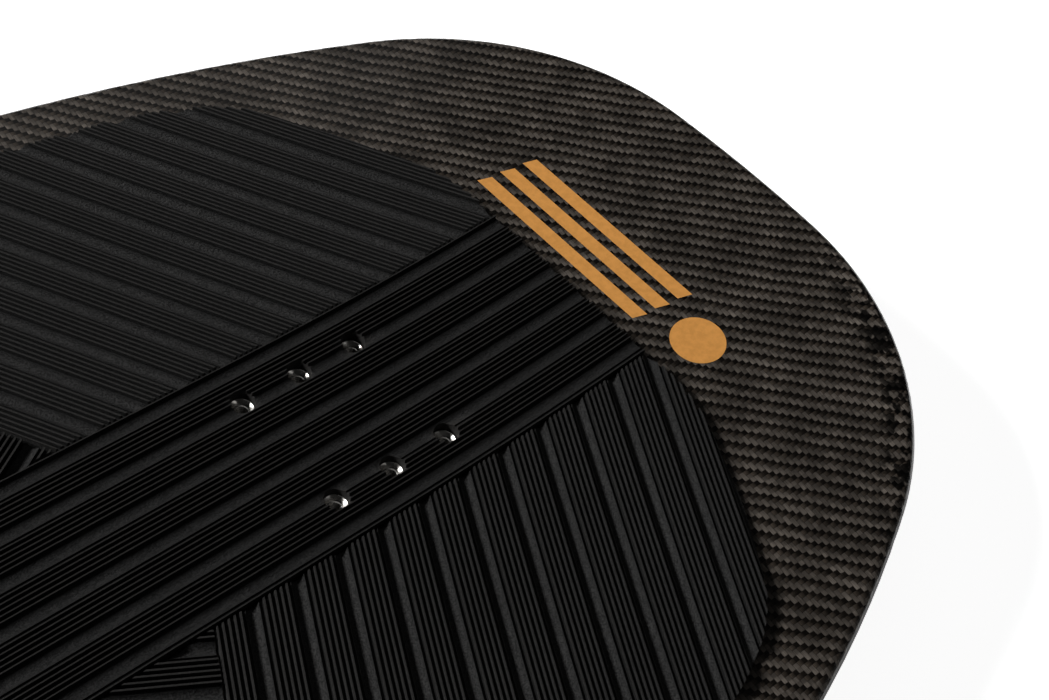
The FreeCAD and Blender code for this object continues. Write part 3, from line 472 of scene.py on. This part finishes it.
def grooved_pad(name, node, angle, side, profile, module, phase, step):
    """A pad whose grooves run at an angle to the board: a closed solid that follows the deck."""
    hull = outline_of(node)
    along = np.array([math.cos(angle), side * math.sin(angle)])
    across = np.array([math.sin(angle), -side * math.cos(angle)])
    reach = hull @ across
    low, high = reach.min() + EDGE_TRIM, reach.max() - EDGE_TRIM
    places, heights, cuts_and_shade = tiled(profile, module, phase, low, high)
    ends = np.array([chord(hull, across, along, place) for place in places])
    stations = max(2, math.ceil(float((ends[:, 1] - ends[:, 0]).max()) / step) + 1)
    share = np.linspace(0.0, 1.0, stations)
    run = ends[:, :1] + (ends[:, 1:] - ends[:, :1]) * share
    plan = places[:, None, None] * across + run[:, :, None] * along
    floor = deck_height(plan[:, :, 0])
    top = np.dstack([plan, floor + PAD_DEPTH + heights[:, None]]).reshape(-1, 3)
    bottom = np.dstack([plan, floor]).reshape(-1, 3)
    rows, count = len(places), len(top)
    upper = grid_faces(rows, stations)
    lower = upper[:, ::-1] + count
    walls = []
    index = np.arange(count).reshape(rows, stations)
    for line in (index[:, 0][::-1], index[:, -1], index[0, :], index[-1, :][::-1]):
        walls.append(np.stack([line[:-1], line[:-1] + count, line[1:] + count, line[1:]], 1))
    faces = np.concatenate([upper, lower] + walls)
    if side > 0:
        faces = faces[:, ::-1]
    smooth = np.arange(len(faces)) < len(upper)
    pad = piece(name, np.concatenate([top, bottom]), faces, smooth, eva)
    pad.data.set_sharp_from_angle(angle=CREASE)
    # the underside takes the groove floors' value, so the walls darken with painted shade towards the deck
    cut = np.concatenate([np.repeat(cuts_and_shade, stations), np.full(count, GROOVE_CUT_AND_SHADE)])
    pad.data.attributes.new(SKIN_FINISH_AND_SHADE, "FLOAT", "POINT").data.foreach_set("value", cut.astype(np.float32))
    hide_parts(node)
    return pad


SIDE_PITCH = 2.03 * MM
SIDE_MODULE = 16.25 * MM
SIDE_PROFILE = ridged_profile(SIDE_PITCH, SIDE_MODULE, top_width=0.72 * MM, floor_width=1.15 * MM,
                              groove_depth=1.7 * MM, trough_depth=2.6 * MM)
FRONT_ANGLE = math.radians(120.0)   # of the grooves, from the board's +X
MID_ANGLE = math.radians(30.0)
REAR_ANGLE = math.radians(60.0)
SIDE_PHASE = 4.5 * MM               # shifts the grooves across their run
FRONT_PHASE = GRID_X * math.sin(FRONT_ANGLE) + SIDE_PHASE
CURVED_STEP = 7.0 * MM              # longest stretch between points along a groove, front pads
FLAT_STEP = 40.0 * MM               # the same for the mid and rear pads
for side_name, side in (("port", 1), ("starboard", -1)):
    grooved_pad(f"front_pad_foam_{side_name}", f"front_pad_{side_name}", FRONT_ANGLE, side,
                SIDE_PROFILE, SIDE_MODULE, FRONT_PHASE, CURVED_STEP)
    grooved_pad(f"mid_pad_foam_{side_name}", f"mid_pad_{side_name}", MID_ANGLE, side,
                SIDE_PROFILE, SIDE_MODULE, 0.0, FLAT_STEP)
    grooved_pad(f"rear_pad_foam_{side_name}", f"rear_pad_{side_name}", REAR_ANGLE, side,
                SIDE_PROFILE, SIDE_MODULE, SIDE_PHASE, FLAT_STEP)

STRIP_PITCH = 1.85 * MM
STRIP_MODULE = 15.0 * MM
STRIP_STEP = 12.0 * MM
STRIP_PROFILE = ridged_profile(STRIP_PITCH, STRIP_MODULE, top_width=0.48 * MM, floor_width=0.95 * MM,
                               groove_depth=1.35 * MM, trough_depth=1.7 * MM, hollow_cut_and_shade=STRIP_HOLLOW_CUT_AND_SHADE)
strip = grooved_pad("centre_strip_foam", "centre_strip_pad", 0.0, 1, STRIP_PROFILE, STRIP_MODULE,
                    STRIP_MODULE / 2, STRIP_STEP)


# ---------------------------------------------------------------- holes in the strip

def islands(node):
    """The loose parts of a CAD node as (lowest, highest) corners, from the tail to the nose."""
    work = bmesh.new()
    work.from_mesh(NODES[node].data)
    bmesh.ops.remove_doubles(work, verts=work.verts, dist=1e-6)
    left, found = set(work.verts), []
    while left:
        stack, group = [left.pop()], []
        while stack:
            vertex = stack.pop()
            group.append(np.array(vertex.co))
            for edge in vertex.link_edges:
                other = edge.other_vert(vertex)
                if other in left:
                    left.remove(other)
                    stack.append(other)
        found.append((np.min(group, 0), np.max(group, 0)))
    work.free()
    return sorted(found, key=lambda corners: (corners[0][0], corners[0][1]))


HOLE_RADIUS = 4.6 * MM              # over each bush
WINDOW_RADIUS = 15.0 * MM           # over the vent
HOLE_SEGMENTS = 48
DRUM_DEPTH = 30.0 * MM              # of the cutters, deep enough to pass right through the strip
FRONT_BUSHES = islands("front_insert_bushes")
REAR_BUSHES = islands("rear_insert_bushes")
VENT_LOW, VENT_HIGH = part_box("vent_body")


def cutter(name, centre, radius):
    """A drum that cuts a round hole through the strip."""
    work = bmesh.new()
    bmesh.ops.create_cone(work, cap_ends=True, segments=HOLE_SEGMENTS, radius1=radius, radius2=radius,
                          depth=DRUM_DEPTH, matrix=Matrix.Translation(centre))
    mesh = bpy.data.meshes.new(name)
    work.to_mesh(mesh)
    work.free()
    obj = bpy.data.objects.new(name, mesh)
    bpy.context.scene.collection.objects.link(obj)
    return obj


def cut_holes(target, holes):
    """Cut round holes, given as (centre, radius), and drop the cutters."""
    drums = [cutter(f"drum_{i}", centre, radius) for i, (centre, radius) in enumerate(holes)]
    joined = bpy.data.collections.new("drums")
    bpy.context.scene.collection.children.link(joined)
    for drum in drums:
        joined.objects.link(drum)
    change = target.modifiers.new("holes", "BOOLEAN")
    change.operand_type = "COLLECTION"
    change.collection = joined
    change.solver = "EXACT"
    graph = bpy.context.evaluated_depsgraph_get()
    carved = bpy.data.meshes.new_from_object(target.evaluated_get(graph))
    target.modifiers.clear()
    target.data = carved
    for drum in drums:
        bpy.data.objects.remove(drum)
    bpy.data.collections.remove(joined)


def middle(corners):
    low, high = corners
    return Vector((low[0] + high[0], low[1] + high[1], low[2] + high[2])) / 2


def over(corners):
    """The point of the flat deck over the middle of a box."""
    return middle(corners).xy.to_3d() + Vector((0, 0, DECK))


strip_holes = [(over(corners), HOLE_RADIUS) for corners in FRONT_BUSHES + REAR_BUSHES]
strip_holes.append((over((VENT_LOW, VENT_HIGH)), WINDOW_RADIUS))
cut_holes(strip, strip_holes)


# ---------------------------------------------------------------- threaded bushes

THREAD_PITCH = 1.0 * MM
THREAD_DEPTH = 0.45 * MM
BORE_RADIUS = 2.5 * MM
BUSH_RADIUS = 5.0 * MM
BORE_DEPTH = 15.0 * MM
THREAD_START = 1.8 * MM             # below the rim
THREAD_END = BORE_DEPTH - 1.2 * MM
BUSH_SEGMENTS = 40
RINGS_PER_PITCH = 6
MOUTH_DEPTH = 1.7 * MM
MOUTH_RADII = (4.45 * MM, 4.3 * MM, 3.0 * MM)   # at the rim, just inside it and at the mouth's foot


def bush_mesh(corners):
    """One stainless bush: chamfered rim, countersunk mouth and a cut thread down to the bore's floor."""
    low, high = corners
    centre = (low + high) / 2
    top, floor = high[2], low[2]
    turn = np.arange(BUSH_SEGMENTS) * (2 * math.pi / BUSH_SEGMENTS)

    def ring(radius, height):
        return np.full(BUSH_SEGMENTS, radius), np.full(BUSH_SEGMENTS, height)

    rings = [ring(BUSH_RADIUS - 0.3 * MM, floor), ring(BUSH_RADIUS, floor + 0.3 * MM),
             ring(BUSH_RADIUS, top - 0.2 * MM), ring(BUSH_RADIUS - 0.2 * MM, top),
             ring(MOUTH_RADII[0], top), ring(MOUTH_RADII[1], top - 0.08 * MM),
             ring(MOUTH_RADII[2], top - MOUTH_DEPTH)]
    for depth in np.arange(THREAD_START, THREAD_END, THREAD_PITCH / RINGS_PER_PITCH):
        phase = depth / THREAD_PITCH + turn / (2 * math.pi)
        wave = 1 - np.abs(2 * (phase % 1.0) - 1)
        fade = min(1.0, (THREAD_END - depth) / THREAD_PITCH)
        radius = BORE_RADIUS + THREAD_DEPTH * fade * np.clip(wave * 1.35 - 0.15, 0, 1)
        rings.append((radius, np.full(BUSH_SEGMENTS, top - depth)))
    rings.append(ring(BORE_RADIUS, top - BORE_DEPTH + 0.9 * MM))
    rings.append(ring(0.25 * MM, top - BORE_DEPTH))
    vertices = np.concatenate([
        np.stack([centre[0] + r * np.cos(turn), centre[1] + r * np.sin(turn), z], 1) for r, z in rings])
    faces = [tuple(f) for f in grid_faces(len(rings), BUSH_SEGMENTS, closed=True)]
    faces.append(tuple(range(BUSH_SEGMENTS))[::-1])
    last = (len(rings) - 1) * BUSH_SEGMENTS
    faces.append(tuple(range(last, last + BUSH_SEGMENTS)))
    return vertices, faces


def bush_set(name, node, places):
    """All the bushes of one insert group as one piece."""
    vertices, faces = [], []
    start = 0
    for corners in places:
        more, more_faces = bush_mesh(corners)
        vertices.append(more)
        faces += [tuple(i + start for i in f) for f in more_faces]
        start += len(more)
    bushes = piece(name, np.concatenate(vertices), faces, [True] * len(faces), steel)
    bushes.data.set_sharp_from_angle(angle=CREASE)
    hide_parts(node)
    return bushes


bush_set("front_insert_threads", "front_insert_bushes", FRONT_BUSHES)
bush_set("rear_insert_threads", "rear_insert_bushes", REAR_BUSHES)


# ---------------------------------------------------------------- printed mark

INK_DEPTH = 0.06 * MM
SLICE = 4.0 * MM                    # the mark is cut across this often, so that it follows the kick
MARK_REACH = 80.0 * MM              # how far ahead of the strip the cuts go on


def printed(name, outline):
    """A thin printed shape on the deck from its plan outline, a convex loop of points."""
    work = bmesh.new()
    rim = [work.verts.new((x, y, 0.0)) for x, y in outline]
    work.faces.new(rim)
    for plane in np.arange(KICK_START, STRIP_HIGH.x + MARK_REACH, SLICE):
        everything = work.verts[:] + work.edges[:] + work.faces[:]
        bmesh.ops.bisect_plane(work, geom=everything, plane_co=(plane, 0, 0), plane_no=(1, 0, 0))
    for vertex in work.verts:
        vertex.co.z = float(deck_height(vertex.co.x)) + INK_DEPTH
    skirt = bmesh.ops.extrude_face_region(work, geom=work.faces[:])
    for item in skirt["geom"]:
        if isinstance(item, bmesh.types.BMVert):
            item.co.z -= INK_DEPTH * 1.5
    bmesh.ops.recalc_face_normals(work, faces=work.faces[:])
    mesh = bpy.data.meshes.new(name)
    work.to_mesh(mesh)
    work.free()
    obj = bpy.data.objects.new(name, mesh)
    bpy.context.scene.collection.objects.link(obj)
    dress(obj, gold)
    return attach(obj, "board")


MARK_NEAR = 122.0 * MM + GRID_X     # edge of the mark nearest the pads
STRIPE_WIDTH = 6.0 * MM
STRIPE_GAP = 4.5 * MM
STRIPE_PORT, STRIPE_STARBOARD = 62.0, -26.0     # ends of the first stripe, in millimetres
STRIPE_SHIFT = 2.0                  # each stripe lies this much further to starboard
SHEAR = 0.35
DISC_CENTRE = (134.5 * MM + GRID_X, -49.0 * MM)
DISC_RADIUS = 11.0 * MM
DISC_POINTS = 64

for index in range(3):
    near = MARK_NEAR + index * (STRIPE_WIDTH + STRIPE_GAP)
    far = near + STRIPE_WIDTH
    port = (STRIPE_PORT - index * STRIPE_SHIFT) * MM
    starboard = (STRIPE_STARBOARD - index * STRIPE_SHIFT) * MM
    slant = SHEAR * STRIPE_WIDTH
    printed(f"mark_stripe_{index + 1}",
            [(near, port), (near, starboard), (far, starboard - slant), (far, port - slant)])
printed("mark_disc", [
    (DISC_CENTRE[0] + DISC_RADIUS * math.cos(turn), DISC_CENTRE[1] + DISC_RADIUS * math.sin(turn))
    for turn in np.linspace(0, 2 * math.pi, DISC_POINTS, endpoint=False)])


# ---------------------------------------------------------------- stage, light and camera

FLOOR_DROP = 3.0 * MM               # gap between the board and the floor
FLOOR_SIZE = 60.0
floor_look = Look("pale_floor", Roughness=0.9, Emission_Strength=0.9, Emission_Color=(1.0, 1.0, 1.0, 1.0))
floor_look.colour(floor_look.tint(floor_look.span(floor_look.noise(3.0), 0.3, 0.7), grey(0.86), grey(0.89)))
bpy.ops.mesh.primitive_plane_add(size=FLOOR_SIZE, location=(0.0, 0.0, -FLOOR_DROP))
floor = bpy.context.object
floor.name = "studio_floor"
dress(floor, floor_look)


def softbox(name, place, aim, width, depth, power):
    """A rectangular soft light at place, turned to aim."""
    light = bpy.data.lights.new(name, "AREA")
    light.shape = "RECTANGLE"
    light.size, light.size_y, light.energy = width, depth, power
    obj = bpy.data.objects.new(name, light)
    bpy.context.scene.collection.objects.link(obj)
    obj.location = place
    obj.rotation_euler = (Vector(aim) - Vector(place)).to_track_quat("-Z", "Y").to_euler()
    return obj


# the key stands off the port tail quarter; the others are far weaker
softbox("key", (-1.73, 2.08, 1.91), (0.35, 0.0, 0.0), 0.75, 0.75, 165.0)
softbox("back", (1.59, 1.89, 1.6), (0.5, 0.15, 0.0), 1.5, 1.2, 0.85)
softbox("overhead", (0.1, 0.5, 2.6), (0.2, 0.0, 0.0), 2.0, 2.0, 3.0)
softbox("fill", (1.8, -2.2, 1.4), (0.2, 0.0, 0.0), 1.6, 1.2, 3.0)

world = bpy.data.worlds.new("studio")
world.use_nodes = True
backdrop = world.node_tree.nodes["Background"]
backdrop.inputs["Color"].default_value = (1.0, 1.0, 1.0, 1.0)
backdrop.inputs["Strength"].default_value = 0.012
bpy.context.scene.world = world

camera_data = bpy.data.cameras.new("camera")
camera_data.sensor_width = 36.0
camera_data.lens = 64.37
camera_data.clip_start = 0.01
camera = bpy.data.objects.new("camera", camera_data)
bpy.context.scene.collection.objects.link(camera)
RIGHT = Vector((0.69752, -0.68092, 0.22318))
UP = Vector((0.40307, 0.63035, 0.66347))
BACK = RIGHT.cross(UP).normalized()
EYE = Vector((0.0713, -0.2722, 0.5397))     # where the camera stands
camera.matrix_world = Matrix.Translation(EYE) @ Matrix((RIGHT, UP, BACK)).transposed().to_4x4()
bpy.context.scene.camera = camera
bpy.context.scene.view_settings.view_transform = "Standard"
